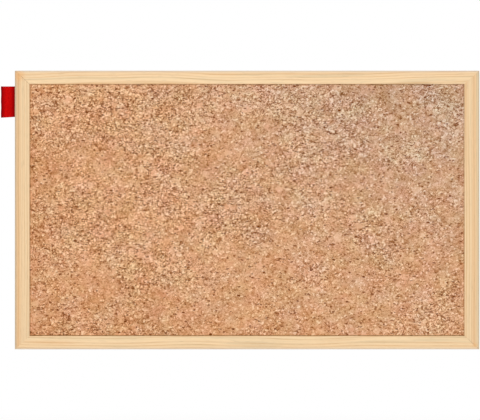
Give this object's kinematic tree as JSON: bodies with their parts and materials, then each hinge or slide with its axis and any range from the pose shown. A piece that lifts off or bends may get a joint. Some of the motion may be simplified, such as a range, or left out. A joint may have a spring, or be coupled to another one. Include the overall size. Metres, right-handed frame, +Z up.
{
  "type": "memo board",
  "caption": "Wall memo board: a granulated cork sheet on a softboard core in a mitred pine frame, with swinging ring hangers on its back and a plain woven label at one side.",
  "frame": {"origin": "centre of the frame's rear plane, which meets the wall", "axes": "+Z up, +X to the right seen from the front, +Y from the cork towards the wall"},
  "size_m": [0.5164, 0.0195, 0.3],
  "materials": {
    "pine": "satin",
    "cork": "matte",
    "softboard": "matte",
    "zinc_steel": "satin",
    "ribbon": "matte"
  },
  "bodies": {
    "board": {"frame_top": "pine", "frame_right": "pine", "frame_bottom": "pine", "frame_left": "pine", "cork_sheet": "cork", "backing_board": "softboard", "corner_nail_top_right": "zinc_steel", "corner_nail_bottom_right": "zinc_steel", "corner_nail_bottom_left": "zinc_steel", "corner_nail_top_left": "zinc_steel", "backing_point_top_1": "zinc_steel", "backing_point_top_2": "zinc_steel", "backing_point_top_3": "zinc_steel", "backing_point_top_4": "zinc_steel", "backing_point_right_1": "zinc_steel", "backing_point_right_2": "zinc_steel", "backing_point_right_3": "zinc_steel", "backing_point_bottom_1": "zinc_steel", "backing_point_bottom_2": "zinc_steel", "backing_point_bottom_3": "zinc_steel", "backing_point_bottom_4": "zinc_steel", "backing_point_left_1": "zinc_steel", "backing_point_left_2": "zinc_steel", "backing_point_left_3": "zinc_steel", "hanger_strap_left": "zinc_steel", "hanger_strap_right": "zinc_steel", "hanger_screw_left": "zinc_steel", "hanger_screw_right": "zinc_steel", "label": "ribbon", "label_staple_lower": "zinc_steel", "label_staple_upper": "zinc_steel"},
    "ring_left": {"hanger_ring_left": "zinc_steel"},
    "ring_right": {"hanger_ring_right": "zinc_steel"}
  },
  "joints": [
    {"name": "ring_left_swing", "type": "hinge", "parent": "board", "child": "ring_left", "pos_m": [-0.244, 0.0017, 0.08], "axis": [-1, 0, 0], "range_deg": [0, 177]},
    {"name": "ring_right_swing", "type": "hinge", "parent": "board", "child": "ring_right", "pos_m": [0.244, 0.0017, 0.08], "axis": [-1, 0, 0], "range_deg": [0, 177]}
  ]
}
